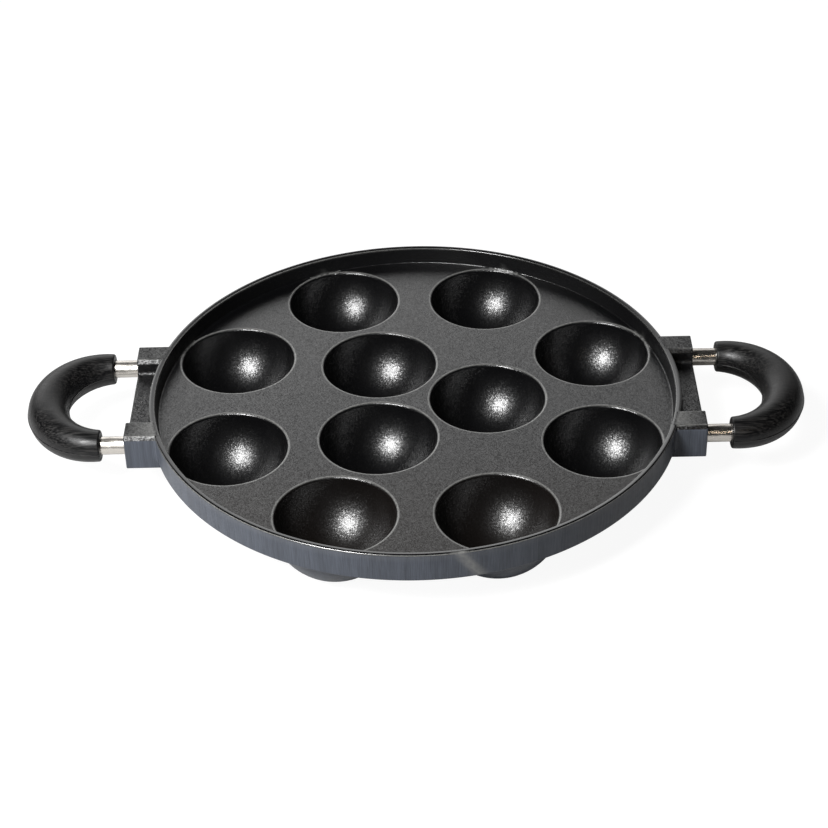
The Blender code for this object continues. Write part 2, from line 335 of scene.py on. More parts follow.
def makeOutsideCoat():
    # heat-proof grey lacquer sprayed on the turned outside of the casting: satin, with faint upright strokes
    # and bands. The strokes and the grain are drawn coarser than real ones so that they show.
    material, tree, shader, where = newMaterial("heatProofLacquerSprayed", {
        "Base Color": hexColour(outside["colour"]), "Roughness": outside["roughness"], "IOR": outside["ior"]})
    stretched = addNode(tree, "ShaderNodeMapping",
                        inputs={"Vector": where, "Scale": (1, 1, outside["stretch"])})
    strokes = addNode(tree, "ShaderNodeTexNoise",
                      inputs={"Vector": stretched, "Scale": 1 / outside["strokeSize"],
                              "Roughness": outside["strokeBreak"]})
    grain = addNode(tree, "ShaderNodeTexNoise", inputs={"Vector": where, "Scale": 1 / outside["grainSize"]})
    bands = addNode(tree, "ShaderNodeTexNoise",
                    inputs={"Vector": stretched, "Scale": 1 / outside["bandSize"], "Detail": 1.0})
    both = addNode(tree, "ShaderNodeMath", {"operation": "MULTIPLY_ADD"},
                   {0: bands, 1: outside["bandShare"], 2: strokes})
    level = addNode(tree, "ShaderNodeMapRange", inputs={"Value": both, **outside["tones"]})
    colour = addNode(tree, "ShaderNodeVectorMath", {"operation": "SCALE"},
                     {0: hexColour(outside["colour"])[:3], "Scale": level})
    height = addNode(tree, "ShaderNodeMath", {"operation": "ADD"}, {0: strokes, 1: grain})
    bump = addNode(tree, "ShaderNodeBump", inputs={"Distance": outside["skinDepth"], "Height": height})
    setInputs(shader, {"Base Color": paintedHighlightColour(tree, where, colour), "Normal": bump})
    return material


barSteel = {
    "colour": "#d2cdc6", "roughness": 0.27, "spread": 0.04, "anisotropy": 0.6, "anisotropyTurn": 0.25,
    "lineSize": 0.3 * mm, "lineStretch": 0.04, "lineDepth": 0.008 * mm,
    "dentSize": 2.2 * mm, "dentStretch": 0.35, "dentDepth": 0.18 * mm,
}


def makeSteel():
    # stainless bar, drawn and then brightened: the drawing lines along it spread every highlight round its
    # girth, and shallow dents bend it a little. The lines are drawn coarser than real ones so that they show.
    material, tree, shader, where = newMaterial("stainlessSteelPolished", {
        "Base Color": hexColour(barSteel["colour"]), "Metallic": 1.0, "Roughness": barSteel["roughness"],
        "Anisotropic": barSteel["anisotropy"], "Anisotropic Rotation": barSteel["anisotropyTurn"]})
    along = addNode(tree, "ShaderNodeCombineXYZ", inputs={"X": 1.0})
    stretched = addNode(tree, "ShaderNodeMapping",
                        inputs={"Vector": where, "Scale": (barSteel["lineStretch"], 1, 1)})
    lines = addNode(tree, "ShaderNodeTexNoise",
                    inputs={"Vector": stretched, "Scale": 1 / barSteel["lineSize"]})
    longer = addNode(tree, "ShaderNodeMapping",
                     inputs={"Vector": where, "Scale": (barSteel["dentStretch"], 1, 1)})
    dents = addNode(tree, "ShaderNodeTexNoise",
                    inputs={"Vector": longer, "Scale": 1 / barSteel["dentSize"], "Detail": 1.0})
    rough = addNode(tree, "ShaderNodeMapRange",
                    inputs={"Value": lines, **noiseSpan, "To Min": barSteel["roughness"] - barSteel["spread"],
                            "To Max": barSteel["roughness"] + barSteel["spread"]})
    wavy = addNode(tree, "ShaderNodeBump", inputs={"Distance": barSteel["dentDepth"], "Height": dents})
    bump = addNode(tree, "ShaderNodeBump",
                   inputs={"Distance": barSteel["lineDepth"], "Height": lines, "Normal": wavy})
    setInputs(shader, {"Tangent": along, "Roughness": rough, "Normal": bump})
    return material


rubber = {
    "colour": "#060607", "roughness": 0.4, "smoother": 0.08, "rougher": 0.1, "ior": 1.42,
    "waveSize": 6 * mm, "waveDepth": 0.12 * mm, "grainSize": 0.5 * mm, "grainDepth": 0.02 * mm,
    "scratchSize": 0.6 * mm, "scratchStretch": 0.06, "scratchTurn": (0.3, 0.2, 0.7),
    "scratches": {"From Min": 0.35, "From Max": 0.65}, "dustColour": "#4c4a48",
    "dust": {"From Min": 0.45, "From Max": 0.75, "To Max": 0.3},
}


def makeGripRubber():
    # black hard rubber, compression moulded and handled: a little wavy and softly shiny, with scratches and
    # a thin film of dust that break the highlights. The scratches and the grain are drawn coarser than real
    # ones so that they show.
    material, tree, shader, where = newMaterial("hardRubberMoulded", {
        "Base Color": hexColour(rubber["colour"]), "Roughness": rubber["roughness"], "IOR": rubber["ior"]})
    wave = addNode(tree, "ShaderNodeTexNoise", inputs={"Vector": where, "Scale": 1 / rubber["waveSize"]})
    grain = addNode(tree, "ShaderNodeTexNoise", inputs={"Vector": where, "Scale": 1 / rubber["grainSize"]})
    slanted = addNode(tree, "ShaderNodeMapping",
                      inputs={"Vector": where, "Rotation": rubber["scratchTurn"],
                              "Scale": (rubber["scratchStretch"], 1, 1)})
    scratches = addNode(tree, "ShaderNodeTexNoise",
                        inputs={"Vector": slanted, "Scale": 1 / rubber["scratchSize"]})
    rough = addNode(tree, "ShaderNodeMapRange",
                    inputs={"Value": scratches, **rubber["scratches"],
                            "To Min": rubber["roughness"] - rubber["smoother"],
                            "To Max": rubber["roughness"] + rubber["rougher"]})
    film = addNode(tree, "ShaderNodeMapRange", inputs={"Value": scratches, **rubber["dust"]})
    colour = addNode(tree, "ShaderNodeMix", {"data_type": "RGBA"},
                     {0: film, 6: hexColour(rubber["colour"]), 7: hexColour(rubber["dustColour"])})
    wavy = addNode(tree, "ShaderNodeBump", inputs={"Distance": rubber["waveDepth"], "Height": wave})
    bump = addNode(tree, "ShaderNodeBump",
                   inputs={"Distance": rubber["grainDepth"], "Height": grain, "Normal": wavy})
    setInputs(shader, {"Base Color": colour.outputs[2], "Roughness": rough, "Normal": bump})
    return material


pins = {
    "radius": 1.5 * mm, "chamfer": 0.3 * mm, "inset": 0.3 * mm, "sides": 32, "colour": "#8d8c89",
    "roughness": 0.35, "ringSize": 0.15 * mm, "ringStretch": 0.1, "ringDepth": 0.004 * mm,
}


def makePinSteel():
    # plain turned steel: grey, with fine rings round the pin that draw its highlight out
    material, tree, shader, where = newMaterial("mildSteelTurned", {
        "Base Color": hexColour(pins["colour"]), "Metallic": 1.0, "Roughness": pins["roughness"]})
    stretched = addNode(tree, "ShaderNodeMapping",
                        inputs={"Vector": where, "Scale": (pins["ringStretch"], pins["ringStretch"], 1)})
    rings = addNode(tree, "ShaderNodeTexNoise", inputs={"Vector": stretched, "Scale": 1 / pins["ringSize"]})
    bump = addNode(tree, "ShaderNodeBump", inputs={"Distance": pins["ringDepth"], "Height": rings})
    setInputs(shader, {"Normal": bump})
    return material


insideCoat, wallCoat, lugCoatAndShade = [makeInsideCoat(name, *values) for name, values in insideKinds.items()]
turnedRim, outsideCoat = makeTurnedRim(), makeOutsideCoat()
castingFinishes = (insideCoat, turnedRim, outsideCoat, wallCoat, lugCoatAndShade)
floorFinish, rimFinish, outerFinish, wallFinish, lugCoatAndShadeFinish = range(5)  # their places in that list
steel, gripRubber, pinSteel = makeSteel(), makeGripRubber(), makePinSteel()
print("materials made")


# The casting: cooking floor with cavities, rim, skirt, and a filleted underside with the bowls

pan = {
    "innerCavities": 3, "outerCavities": 8, "outerTurn": 22.5,
    "innerRing": 32.79 * mm, "outerRing": 89.29 * mm,
    "mouthRadius": 25.8 * mm, "cavityDepth": 24.6 * mm, "lipRound": 1.3 * mm,
    "bowlRadius": 28.2 * mm, "floorZ": 27.2 * mm, "floorThickness": 3.2 * mm,
    "rimFoot": 116.3 * mm, "rimLean": 1.0 * mm, "rimHeight": 8.1 * mm, "rimRadius": 119.8 * mm,
    "rimFillet": 0.6 * mm, "innerEdge": 0.5 * mm, "landTilt": 12, "landEnd": 118.5 * mm,
    "rollRadius": 1.3 * mm, "rollTilt": 35,
    "skirtDepth": 5.8 * mm, "skirtDraft": 0.4 * mm, "skirtInner": 116.0 * mm, "skirtEdge": 0.5 * mm,
    "skirtFoot": 118.0 * mm, "skirtFlat": 0.15 * mm, "bowlFillet": 2.2 * mm, "skirtFillet": 1.2 * mm,
    "rimSides": 288, "cavitySides": 96, "cavityRows": 18, "bowlSides": 72, "normalWeight": 60,
}
panRows = {  # where the mesh has its rows of points: shares of a height or an arc, or radii in mm
    "wall": (0, 0.12, 0.5, 0.9), "skirt": (0.04, 0.25, 0.5, 0.75, 0.96),
    "innerEdge": 5, "roll": 8, "outerEdge": 8, "skirtEdge": 4,
    "fillet": (0, 0.25, 0.45, 0.62, 0.78, 0.9), "lip": (0, 0.12, 0.25, 0.38, 0.52, 0.66, 0.8, 0.91),
    "lipBelow": 0.7, "lipMargin": 0.35 * mm, "filletMargin": 0.4 * mm, "clear": 0.05 * mm,
    "edgeClear": 0.02 * mm,
    "skirtFoot": (118.3, 118.0, 117.7, 117.4, 117.1, 116.8, 116.5, 116.25, 116.0, 115.8, 115.5, 115.1, 114.5),
    "bowl": (0, 2.5, 5, 6.9, 7.4, 7.8, 8.8, 10.3, 12, 13.8, 15.6, 17.4, 19, 20.5, 21.9, 23.1, 24.2, 25.1,
             25.9, 26.6, 27.1, 27.5, 27.8, 28.1, 28.4, 28.8, 29.3, 29.9, 30.6, 31.6, 33),
    "bowlOuter": 27.2, "bowlReach": 118.2 * mm, "outerReach": 114.3 * mm, "bowlClear": 0.25 * mm,
}

outerTurns = [math.radians(pan["outerTurn"]) + a for a in turnsOf(pan["outerCavities"])]
cavityCentres = np.array(circlePoints(pan["innerRing"], turnsOf(pan["innerCavities"]))
                         + circlePoints(pan["outerRing"], outerTurns))
ballRadius = (pan["mouthRadius"] ** 2 + pan["cavityDepth"] ** 2) / (2 * pan["cavityDepth"])
ballRise = ballRadius - pan["cavityDepth"]  # the ball's middle is this far above the floor
lipMiddle = math.sqrt((ballRadius + pan["lipRound"]) ** 2 - (ballRise + pan["lipRound"]) ** 2)
lipTilt = math.acos((ballRise + pan["lipRound"]) / (ballRadius + pan["lipRound"]))
lipDrop = pan["lipRound"] * (1 - math.cos(lipTilt))  # from the floor to the lip's lower edge
wallRadius = lipMiddle - pan["lipRound"] * math.sin(lipTilt)


def makeCavityShells(name, count, ringRadius, turn):
    # the ball below the lip, from the pole up to the lip's lower edge; the second number points down
    top = math.degrees(math.asin((ballRise + lipDrop) / ballRadius))
    side = arcPoints((0, 0), ballRadius, 90, top, pan["cavityRows"])
    profile = [(r - pan["mouthRadius"], z - ballRise, 0) for r, z in side]
    profile[0] = (-pan["mouthRadius"], profile[0][1], 0)
    profile[-1] = (wallRadius - pan["mouthRadius"], lipDrop, 0)
    return runTree(name, turnedRingTree, [profile], {
        "Mouth Radius": pan["mouthRadius"], "Sides": pan["cavitySides"], "Count": count,
        "Ring Radius": ringRadius, "Turn": math.radians(turn), "Material": insideCoat})


def nearestCavity(x, y):
    away = np.hypot(x[:, None] - cavityCentres[:, 0], y[:, None] - cavityCentres[:, 1])
    return away.min(axis=1), away


def floorHeight(x, y):
    # the floor's level, with the rounded lips of the cavities and the fillet at the foot of the rim
    near, _ = nearestCavity(x, y)
    inLip = np.clip(lipMiddle - near, 0, pan["lipRound"] * math.sin(lipTilt))
    drop = pan["lipRound"] - np.sqrt(pan["lipRound"] ** 2 - inLip ** 2)
    inFillet = np.clip(np.hypot(x, y) - filletStart, 0, filletRun)
    rise = pan["rimFillet"] - np.sqrt(pan["rimFillet"] ** 2 - inFillet ** 2)
    return rise - drop


def smoothMin(a, b, k):
    blend = np.clip(k - np.abs(a - b), 0, None) / k
    return np.minimum(a, b) - blend * blend * k / 4


def undersideHeight(x, y, lowest=-30 * mm, highest=-0.5 * mm, halvings=34):
    # lowest surface of bowls, floor and skirt, with casting fillets where they meet, found by halving
    _, away = nearestCavity(x, y)
    out = np.hypot(x, y)
    low, high = np.full(len(x), lowest), np.full(len(x), highest)
    for _ in range(halvings):
        z = (low + high) / 2
        field = -pan["floorThickness"] - z
        for i in range(away.shape[1]):
            bowl = np.sqrt(away[:, i] ** 2 + z ** 2) - pan["bowlRadius"]
            field = smoothMin(field, bowl, pan["bowlFillet"])
        skirt = np.maximum(-pan["skirtDepth"] - z, pan["skirtInner"] - out)
        field = smoothMin(field, skirt, pan["skirtFillet"])
        high, low = np.where(field < 0, z, high), np.where(field < 0, low, z)
    found = np.maximum((low + high) / 2, -pan["floorZ"])
    return np.where(out > pan["skirtFoot"], -pan["skirtDepth"], found)


leanAngle = math.atan2(pan["rimHeight"], pan["rimLean"])
filletRun = pan["rimFillet"] * math.sin(leanAngle)
filletTop = pan["rimFillet"] * (1 - math.cos(leanAngle))
filletEnd = pan["rimFoot"] + filletTop * pan["rimLean"] / pan["rimHeight"]
filletStart = filletEnd - filletRun


def tiltedArc(centre, radius, start, end, steps):
    # tilts are from upright, in degrees, and point outward from the pan's middle when above zero
    return arcPoints(centre, radius, 90 - start, 90 - end, steps)


def rimProfile():
    # (radius, height over the floor) from the fillet's top up the wall, over the rim and down the skirt to
    # its foot; the rim's land falls a little inward and rolls over into the outer edge
    land, roll, radius = math.radians(pan["landTilt"]), math.radians(pan["rollTilt"]), pan["rollRadius"]
    rollMiddle = (pan["landEnd"] + radius * math.sin(land), pan["rimHeight"] - radius)
    rollEnd = (rollMiddle[0] + radius * math.sin(roll), rollMiddle[1] + radius * math.cos(roll))
    edge = (pan["rimRadius"] - rollEnd[0]) / (1 - math.sin(roll))
    outer = (pan["rimRadius"] - edge, rollEnd[1] - edge * math.cos(roll))
    landEnd = np.array((pan["landEnd"], rollMiddle[1] + radius * math.cos(land)))
    wallNormal = np.array((-math.sin(leanAngle), math.cos(leanAngle)))
    landNormal = np.array((-math.sin(land), math.cos(land)))
    inner = np.linalg.solve(np.array([wallNormal, landNormal]),
                            [wallNormal @ (pan["rimFoot"], 0) - pan["innerEdge"],
                             landNormal @ landEnd - pan["innerEdge"]])
    wallEnd = inner + pan["innerEdge"] * wallNormal
    foot = np.array((filletEnd, filletTop))
    wall = [tuple(foot + (wallEnd - foot) * t) for t in panRows["wall"]]
    rim = tiltedArc(inner, pan["innerEdge"], -math.degrees(leanAngle), -pan["landTilt"], panRows["innerEdge"])
    rim += tiltedArc(rollMiddle, radius, -pan["landTilt"], pan["rollTilt"], panRows["roll"])
    rim += tiltedArc(outer, edge, pan["rollTilt"], 90, panRows["outerEdge"])[1:]
    footR, footZ, soft = pan["rimRadius"] - pan["skirtDraft"], -pan["skirtDepth"], pan["skirtEdge"]
    side = [(pan["rimRadius"] - pan["skirtDraft"] * t, outer[1] + (footZ + soft - outer[1]) * t)
            for t in panRows["skirt"]]
    below = arcPoints((footR - soft, footZ + soft), soft, 0, -90, panRows["skirtEdge"])
    below.append((footR - soft - pan["skirtFlat"], footZ))
    return wall + rim + side + below, len(wall), len(wall) + len(rim) - 1


def fillSheet(points, loops, keep, heights):
    # triangles between closed loops of points, with more points inside
    flat, edges = [], []
    for loop in loops:
        edges += [(len(flat) + i, len(flat) + (i + 1) % len(loop)) for i in range(len(loop))]
        flat += loop
    flat += points
    scaled = [(x * perMetre, y * perMetre) for x, y in flat]
    cut = geometry.delaunay_2d_cdt(scaled, edges, [], 0, closeness, False)
    spots = np.array([(p[0] / perMetre, p[1] / perMetre) for p in cut[0]])
    faces = np.array([f for f in cut[2] if len(f) == 3])
    middle = spots[faces].mean(axis=1)
    faces = faces[keep(middle[:, 0], middle[:, 1])]
    return np.column_stack([spots, heights(spots[:, 0], spots[:, 1])]), faces


def topSheet(mouthLoops):
    # the floor from the cavities' walls to the rim's fillet
    turns, points = turnsOf(pan["rimSides"]), []
    for share in panRows["fillet"]:
        points += circlePoints(filletStart + pan["rimFillet"] * math.sin(leanAngle * share), turns)
    points += circlePoints(filletStart - panRows["filletMargin"], turns)
    for centre, loop in zip(cavityCentres, mouthLoops):
        mouthTurns = [math.atan2(y - centre[1], x - centre[0]) for x, y in loop]
        radii = [lipMiddle - pan["lipRound"] * math.sin(lipTilt * share) for share in panRows["lip"]]
        for share, radius in zip((0, *panRows["lip"]), (lipMiddle + panRows["lipMargin"], *radii)):
            reach = filletEnd if share > panRows["lipBelow"] else filletStart - panRows["clear"]
            points += [p for p in circlePoints(radius, mouthTurns, centre) if math.hypot(*p) < reach]
    near, _ = nearestCavity(*np.array(points).T)
    gap = panRows["edgeClear"]
    points = [p for p, d in zip(points, near) if d > wallRadius + gap and math.hypot(*p) < filletEnd - gap]

    def keep(x, y):
        return (nearestCavity(x, y)[0] > wallRadius - gap / 2) & (np.hypot(x, y) < filletEnd)

    return fillSheet(points, [circlePoints(filletEnd, turns)] + mouthLoops, keep, floorHeight)


def undersideSheet(outerRadius):
    # bowls, floor and skirt from below
    turns, points = turnsOf(pan["rimSides"]), []
    for radius in panRows["skirtFoot"]:
        points += circlePoints(radius * mm, turns)
    for i, centre in enumerate(cavityCentres):
        for radius in panRows["bowl"]:
            ring = np.array(circlePoints(radius * mm, turnsOf(pan["bowlSides"] if radius else 1), centre))
            _, away = nearestCavity(*ring.T)
            own = np.delete(away, i, axis=1).min(axis=1) > radius * mm + panRows["bowlClear"]
            reach = panRows["bowlReach"] if radius < panRows["bowlOuter"] else panRows["outerReach"]
            points += [tuple(p) for p in ring[own & (np.hypot(*ring.T) < reach)]]
    spots, faces = fillSheet(points, [circlePoints(outerRadius, turns)],
                             lambda x, y: np.hypot(x, y) < outerRadius, undersideHeight)
    return spots, faces[:, ::-1]


def mouthLoopsOf(vertices, level):
    # the top ring of each cavity shell, in order round its centre
    top = vertices[np.abs(vertices[:, 2] - level) < 0.01 * mm]
    loops = []
    for x, y in cavityCentres:
        mine = top[np.hypot(top[:, 0] - x, top[:, 1] - y) < pan["mouthRadius"] + pan["lipRound"]]
        order = np.argsort(np.arctan2(mine[:, 1] - y, mine[:, 0] - x))
        loops.append([tuple(p) for p in mine[order, :2]])
    return loops


def giveFinishes(mesh, finishes):
    # the casting's materials in their order, and each face's place among them
    mesh.materials.clear()
    for finish in castingFinishes:
        mesh.materials.append(finish)
    mesh.polygons.foreach_set("material_index", finishes)


def makeBodyMesh():
    vertices, faces, finishes = [], [], []

    def add(spots, polygons, finish):
        # finish is one for all the faces, or one for each
        start = len(vertices)
        vertices.extend(tuple(p) for p in spots)
        faces.extend(tuple(int(i) + start for i in f) for f in polygons)
        finishes.extend(np.broadcast_to(finish, len(polygons)).tolist())

    shells = [makeCavityShells("middleCavities", pan["innerCavities"], pan["innerRing"], 0),
              makeCavityShells("outerCavities", pan["outerCavities"], pan["outerRing"], pan["outerTurn"])]
    shellPoints = [pointsOf(shell.data) for shell in shells]
    for shell, spots in zip(shells, shellPoints):
        add(spots, [tuple(p.vertices) for p in shell.data.polygons], floorFinish)
        bpy.data.objects.remove(shell)
    add(*topSheet(mouthLoopsOf(np.vstack(shellPoints), -lipDrop)), floorFinish)
    profile, rimStart, rimEnd = rimProfile()
    sides = pan["rimSides"]
    spots = [(x, y, z) for r, z in profile for x, y in circlePoints(r, turnsOf(sides))]
    rowFinishes = [wallFinish] * (rimStart - 1) + [rimFinish] * (rimEnd - rimStart)
    rowFinishes += [outerFinish] * (len(profile) - rimEnd)
    add(spots, ringFaces(len(profile), sides), np.repeat(rowFinishes, sides))
    add(*undersideSheet(profile[-1][0]), outerFinish)
    mesh = newMesh("panCasting", [(x, y, z + pan["floorZ"]) for x, y, z in vertices], faces)
    giveFinishes(mesh, finishes)
    return mesh


# The lugs: two bosses and a lower web, flared where they grow out of the skirt

lug = {
    "faceX": 128.2 * mm, "spacing": 59.2 * mm, "bossWidth": 13.5 * mm, "bossBevel": 1.7 * mm,
    "bevelRound": 0.8 * mm, "top": 35.3 * mm, "bottom": 18.6 * mm, "webTop": 28.2 * mm, "webFillet": 2.0 * mm,
    "faceEdge": 0.5 * mm, "faceFlat": 0.3 * mm, "lowerEdge": 0.6 * mm, "rootFillet": 1.6 * mm,
    "flareFoot": 2.0 * mm, "skirtRadius": 119.65 * mm, "proud": 0.02 * mm,  # so that no surfaces coincide
    "lowEnd": 116.8 * mm, "highEnd": 118.2 * mm, "endStep": 1.0 * mm,
    "edgeTurns": (0, 22.5, 45, 67.5, 90), "filletTurns": (0, 15, 30, 45, 60, 75, 86),
    "pointGap": 1.4 * mm, "cornerGap": 0.35 * mm, "gridGap": 1.6,  # the last one in mm
    "socketRadius": 4.3 * mm, "socketDepth": 11.5 * mm, "socketChamfer": 0.35 * mm, "socketSides": 48,
    "pinHoleRadius": 1.8 * mm, "pinHoleChamfer": 0.3 * mm, "pinHoleSpare": 0.3 * mm, "pinHoleSides": 32,
    "pinInset": 5.6 * mm, "cutterOver": 2 * mm,
    # the last two bound the painted shade between the bosses
    "coatSlope": 0.55, "coatFrom": 27 * mm, "shadeMargin": 0.2 * mm, "shadeStart": 0.05 * mm,
}
barZ = 26.7 * mm
pinTop = barZ + 5.2 * mm


def roundedOutline(corners, steps=6):
    # corners are (x, y, radius); the outline goes round anticlockwise
    outline = []
    for i, (x, y, radius) in enumerate(corners):
        here = np.array((x, y))
        before = np.array(corners[i - 1][:2]) - here
        after = np.array(corners[(i + 1) % len(corners)][:2]) - here
        before, after = before / np.linalg.norm(before), after / np.linalg.norm(after)
        half = math.acos(np.clip(before @ after, -1, 1)) / 2
        reach = radius / math.tan(half)
        middle = here + (before + after) / np.linalg.norm(before + after) * radius / math.sin(half)
        start = here + before * reach - middle
        end = here + after * reach - middle
        first = math.atan2(start[1], start[0])
        sweep = (math.atan2(end[1], end[0]) - first + math.pi) % (2 * math.pi) - math.pi
        outline += circlePoints(radius, [first + sweep * s / steps for s in range(steps + 1)], middle)
    return outline


def spacedOutline(outline, step, close):
    # adds points on the long straight runs, with one close to each end
    spaced = []
    for here, there in zip(outline, outline[1:] + outline[:1]):
        length = math.dist(here, there)
        shares = [0.0]
        if length > step:
            count = math.ceil(length / step)
            shares += [close / length] + [k / count for k in range(1, count)] + [1 - close / length]
        spaced += [(here[0] + (there[0] - here[0]) * t, here[1] + (there[1] - here[1]) * t) for t in shares]
    return spaced


def hiddenReach(z):
    # how far out the lug's hidden end lies: inside the rim's wall, and inside the skirt lower down
    return np.where(z < pan["floorZ"] - lug["endStep"], lug["lowEnd"], lug["highEnd"])


def makeLugMesh(side):
    inner, outer = lug["spacing"] / 2 - lug["bossWidth"] / 2, lug["spacing"] / 2 + lug["bossWidth"] / 2
    top, low, web = lug["top"], lug["bottom"], lug["webTop"]
    bevel, soft = lug["bossBevel"], lug["bevelRound"]
    right = [(outer, low, lug["lowerEdge"]), (outer, top - bevel, soft), (outer - bevel, top, soft),
             (inner + bevel, top, soft), (inner, top - bevel, soft), (inner, web, lug["webFillet"])]
    corners = right + [(-y, z, r) for y, z, r in reversed(right)]
    outline = np.array(spacedOutline(roundedOutline(corners), lug["pointGap"], lug["cornerGap"]))
    forward = np.roll(outline, -1, axis=0) - np.roll(outline, 1, axis=0)
    forward /= np.linalg.norm(forward, axis=1)[:, None]
    normal = np.column_stack([forward[:, 1], -forward[:, 0]])
    height = outline[:, 1]
    flare = np.clip((top - height) / (bevel + soft), 0, 1) ** 2
    foot = pan["floorZ"] - pan["skirtDepth"]
    flare *= np.clip((height - foot) / lug["flareFoot"], 0, 1) ** 2
    edge, fillet = lug["faceEdge"], lug["rootFillet"]
    rings = []
    for a in np.radians(lug["edgeTurns"]):
        rings.append((outline - normal * (edge * (1 - math.sin(a))), lug["faceX"] - edge * (1 - math.cos(a))))
    rings.append((outline, lug["faceX"] - edge - lug["faceFlat"]))
    for a in np.radians(lug["filletTurns"]):
        spot = outline + normal * (fillet * (1 - math.cos(a)) * flare)[:, None]
        skirt = np.sqrt(lug["skirtRadius"] ** 2 - spot[:, 0] ** 2)
        rings.append((spot, skirt + fillet * (1 - math.sin(a)) * flare + lug["proud"] * (1 - flare)))
    rings.append((spot, np.sqrt(hiddenReach(height) ** 2 - spot[:, 0] ** 2)))
    count = len(outline)
    vertices = []
    for spot, x in rings:
        vertices += [(side * out, y, z) for out, (y, z) in zip(np.broadcast_to(x, count), spot)]
    faces = ringFaces(len(rings), count) + [tuple(range(count))]
    # the hidden end follows the rim's curve, so it is filled with small triangles
    last, gap = (len(rings) - 1) * count, lug["gridGap"]
    loop = [(y * perMetre, z * perMetre) for _, y, z in vertices[last:]]

    def fits(y, z):
        ceiling = web if abs(y) < inner * perMetre else top - bevel
        return (low * perMetre + gap / 2 < z < ceiling * perMetre - gap / 2
                and abs(y) < outer * perMetre - gap / 2)

    span, floor, roof = (math.ceil(v * perMetre / gap) for v in (outer, low, top))
    grid = [(y * gap, z * gap) for y in range(-span, span + 1) for z in range(floor, roof)]
    edges = [(i, (i + 1) % count) for i in range(count)]
    cut = geometry.delaunay_2d_cdt(loop + [p for p in grid if fits(*p)], edges, [], 1, closeness)
    places = []
    for (y, z), source in zip(cut[0], cut[3]):
        places.append(last + source[0] if source and source[0] < count else len(vertices))
        if places[-1] == len(vertices):
            reach = math.sqrt(hiddenReach(z * mm) ** 2 - (y * mm) ** 2)
            vertices.append((side * reach, y * mm, z * mm))
    return newMesh("lug", vertices, faces + [tuple(places[i] for i in f) for f in cut[2]])


def turnedMesh(name, profile, sides, place):
    # closed shape from a (radius, along) profile that starts and ends on its axis
    points = [place(x, y, z) for r, z in profile for x, y in circlePoints(r, turnsOf(sides))]
    mesh = newMesh(name, points, ringFaces(len(profile), sides))
    tidyMesh(mesh)
    return mesh


def combine(target, mesh, operation):
    tool = addObject("tool", mesh)
    step = target.modifiers.new("step", "BOOLEAN")
    step.operation, step.object, step.solver = operation, tool, "MANIFOLD"
    applyModifiers(target)
    bpy.data.objects.remove(tool)


def makeLug(side):
    made = addObject("lug", makeLugMesh(side))
    tidyMesh(made.data)
    face, low, over = lug["faceX"], lug["bottom"], lug["cutterOver"]
    radius, deep, wide = lug["socketRadius"], -lug["socketDepth"], lug["socketRadius"] + lug["socketChamfer"]
    bore = [(0, deep), (radius, deep), (radius, -lug["socketChamfer"]), (wide, lug["proud"]),
            (wide, over), (0, over)]
    hole, flared = lug["pinHoleRadius"], lug["pinHoleRadius"] + lug["pinHoleChamfer"]
    roof = pinTop + lug["pinHoleSpare"]
    drill = [(0, low - over), (flared, low - over), (flared, low), (hole, low + lug["pinHoleChamfer"]),
             (hole, roof), (0, roof)]
    for middle in (-lug["spacing"] / 2, lug["spacing"] / 2):
        combine(made, turnedMesh("bore", bore, lug["socketSides"],
                                 lambda x, y, z: (side * (face + z), middle + x, barZ + y)), "DIFFERENCE")
        combine(made, turnedMesh("drill", drill, lug["pinHoleSides"],
                                 lambda x, y, z: (side * (face - lug["pinInset"]) + x, middle + y, z)),
                "DIFFERENCE")
    return made


casting = addObject("panCasting", makeBodyMesh())
print("casting turned, open edges:", tidyMesh(casting.data), "faces:", len(casting.data.polygons))
for side in (-1, 1):
    grown = makeLug(side)
    mesh = grown.data.copy()
    giveFinishes(mesh, [outerFinish] * len(mesh.polygons))
    bpy.data.objects.remove(grown)
    combine(casting, mesh, "UNION")
print("lugs joined, open edges:", tidyMesh(casting.data, sharpAngle=32, merge=1e-6),
      "faces:", len(casting.data.polygons))
for face in casting.data.polygons:
    # the inside coat is sprayed from above, so it lies on the lugs' tops; between their bosses the same
    # near-black coat is painted shade for the recess
    across, height = abs(face.center.y), face.center.z
    above = face.normal.z > lug["coatSlope"] and height > lug["coatFrom"]
    between = (across < (lug["spacing"] - lug["bossWidth"]) / 2 + lug["shadeMargin"] and height > lug["webTop"]
               and math.hypot(face.center.x, face.center.y) > pan["rimRadius"] + lug["shadeStart"])
    if face.material_index == outerFinish and (above or between):
        face.material_index = lugCoatAndShadeFinish
weighted = casting.modifiers.new("weighted", "WEIGHTED_NORMAL")
weighted.keep_sharp, weighted.weight = True, pan["normalWeight"]
applyModifiers(casting)


# Painted highlights: pale lines of lamp light on edges and a streak, kept as a value at each point of the
# mesh

paintedHighlightBands = {
    "lip": (-0.2 * mm, 0.05 * mm, 0.5 * mm, 0.8 * mm), "rimInner": (-0.12 * mm, 0.0, 0.12 * mm, 0.33 * mm),
    "rimOuter": (-0.34 * mm, -0.22 * mm, -0.1 * mm, 0.0), "innerDeep": 1.2 * mm, "outerDeep": 2.0 * mm,
    "lugTop": 0.4 * mm, "lugFrom": 0.2 * mm, "frontLimit": 0.35,
    "lipShare": 0.65, "rimShare": 0.9, "outerShare": 0.78, "lugShare": 0.9,
    "streakTurn": -81.5, "streakLean": 0.65, "streakWidth": 2.4 * mm, "streakFrom": 3 * mm, "streakShare": 0.95,
    "weakerTurn": 45, "weakerShare": 0.68,
}


def band(value, limits):
    # 0 outside the limits, 1 between the middle two
    first, start, end, last = limits
    return np.clip((value - first) / (start - first), 0, 1) * np.clip((last - value) / (last - end), 0, 1)


